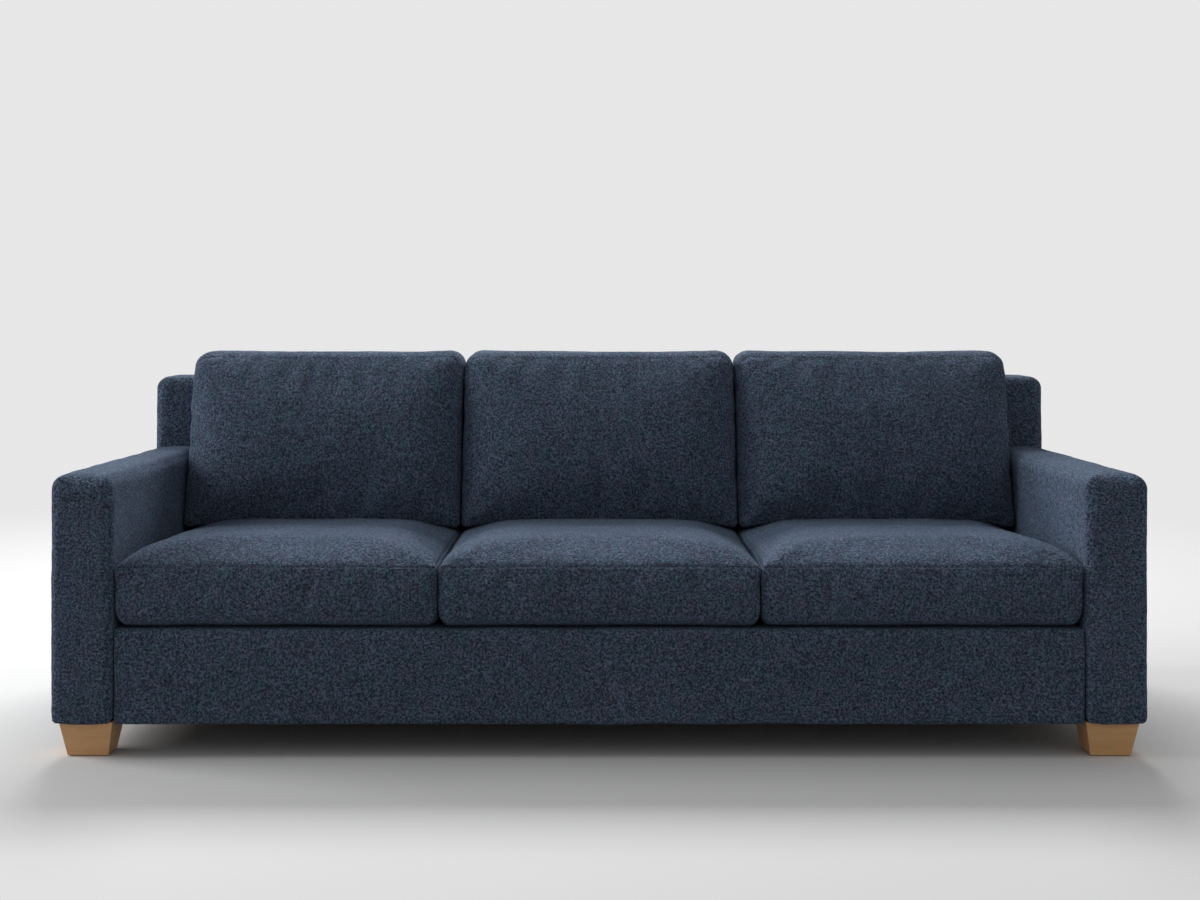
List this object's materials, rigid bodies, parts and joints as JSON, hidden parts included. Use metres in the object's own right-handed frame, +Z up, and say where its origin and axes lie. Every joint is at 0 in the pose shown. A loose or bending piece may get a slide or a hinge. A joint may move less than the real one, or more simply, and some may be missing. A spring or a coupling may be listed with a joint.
{
  "type": "three-seat sofa",
  "caption": "Upholstered three-seat sofa with straight track arms, loose crowned seat cushions, leaning loose back cushions and tapered wooden feet.",
  "frame": {"origin": "on the floor under the middle of the sofa's width and depth", "axes": "+X along the sofa to the right as seen from the front, +Y from the front to the back, +Z up"},
  "size_m": [2.41, 0.94, 0.884],
  "materials": {
    "upholstery": "matte",
    "foam": "matte",
    "fibre_pad": "matte",
    "deck_cloth": "matte",
    "dust_cloth": "matte",
    "webbing": "matte",
    "frame_timber": "matte",
    "foot_timber": "satin",
    "steel": "satin",
    "glide": "matte",
    "zip_metal": "satin"
  },
  "bodies": {
    "sofa_frame": {"front_left_foot": "foot_timber", "front_right_foot": "foot_timber", "rear_left_foot": "foot_timber", "rear_right_foot": "foot_timber", "centre_support_foot": "frame_timber", "foot_glides": "glide", "foot_bolts": "steel", "tee_nuts": "steel", "lag_bolts": "steel", "front_rail": "frame_timber", "rear_rail": "frame_timber", "left_side_rail": "frame_timber", "right_side_rail": "frame_timber", "seat_stretchers": "frame_timber", "corner_blocks": "frame_timber", "seat_springs": "steel", "spring_clips": "steel", "deck_pad": "fibre_pad", "deck_cloth": "deck_cloth", "front_border_padding": "fibre_pad", "front_border_cover": "upholstery", "dust_cover": "dust_cloth", "left_arm_bottom_rail": "frame_timber", "left_arm_top_rail": "frame_timber", "left_arm_front_post": "frame_timber", "left_arm_rear_post": "frame_timber", "left_arm_padding": "foam", "left_arm_cover": "upholstery", "right_arm_bottom_rail": "frame_timber", "right_arm_top_rail": "frame_timber", "right_arm_front_post": "frame_timber", "right_arm_rear_post": "frame_timber", "right_arm_padding": "foam", "right_arm_cover": "upholstery", "back_bottom_rail": "frame_timber", "back_top_rail": "frame_timber", "back_left_post": "frame_timber", "back_right_post": "frame_timber", "back_uprights": "frame_timber", "back_webbing": "webbing", "back_padding": "foam", "back_cover": "upholstery"},
    "seat_left_cushion": {"seat_left_cover": "upholstery", "seat_left_core": "foam"},
    "seat_left_zip": {"seat_left_zip_slider": "zip_metal"},
    "back_left_cushion": {"back_left_cover": "upholstery", "back_left_core": "foam"},
    "back_left_zip": {"back_left_zip_slider": "zip_metal"},
    "seat_centre_cushion": {"seat_centre_cover": "upholstery", "seat_centre_core": "foam"},
    "seat_centre_zip": {"seat_centre_zip_slider": "zip_metal"},
    "back_centre_cushion": {"back_centre_cover": "upholstery", "back_centre_core": "foam"},
    "back_centre_zip": {"back_centre_zip_slider": "zip_metal"},
    "seat_right_cushion": {"seat_right_cover": "upholstery", "seat_right_core": "foam"},
    "seat_right_zip": {"seat_right_zip_slider": "zip_metal"},
    "back_right_cushion": {"back_right_cover": "upholstery", "back_right_core": "foam"},
    "back_right_zip": {"back_right_zip_slider": "zip_metal"}
  },
  "joints": [
    {"name": "seat_left_slide", "type": "slide", "parent": "sofa_frame", "child": "seat_left_cushion", "axis": [0, -1, 0], "range_m": [0, 0.8]},
    {"name": "back_left_lift", "type": "slide", "parent": "sofa_frame", "child": "back_left_cushion", "axis": [0, 0, 1], "range_m": [0, 0.45]},
    {"name": "seat_left_zip_run", "type": "slide", "parent": "seat_left_cushion", "child": "seat_left_zip", "axis": [1, 0, 0], "range_m": [0, 0.54]},
    {"name": "back_left_zip_run", "type": "slide", "parent": "back_left_cushion", "child": "back_left_zip", "axis": [1, 0, 0], "range_m": [0, 0.54]},
    {"name": "seat_centre_slide", "type": "slide", "parent": "sofa_frame", "child": "seat_centre_cushion", "axis": [0, -1, 0], "range_m": [0, 0.8]},
    {"name": "back_centre_lift", "type": "slide", "parent": "sofa_frame", "child": "back_centre_cushion", "axis": [0, 0, 1], "range_m": [0, 0.45]},
    {"name": "seat_centre_zip_run", "type": "slide", "parent": "seat_centre_cushion", "child": "seat_centre_zip", "axis": [1, 0, 0], "range_m": [0, 0.54]},
    {"name": "back_centre_zip_run", "type": "slide", "parent": "back_centre_cushion", "child": "back_centre_zip", "axis": [1, 0, 0], "range_m": [0, 0.54]},
    {"name": "seat_right_slide", "type": "slide", "parent": "sofa_frame", "child": "seat_right_cushion", "axis": [0, -1, 0], "range_m": [0, 0.8]},
    {"name": "back_right_lift", "type": "slide", "parent": "sofa_frame", "child": "back_right_cushion", "axis": [0, 0, 1], "range_m": [0, 0.45]},
    {"name": "seat_right_zip_run", "type": "slide", "parent": "seat_right_cushion", "child": "seat_right_zip", "axis": [1, 0, 0], "range_m": [0, 0.54]},
    {"name": "back_right_zip_run", "type": "slide", "parent": "back_right_cushion", "child": "back_right_zip", "axis": [1, 0, 0], "range_m": [0, 0.54]}
  ]
}
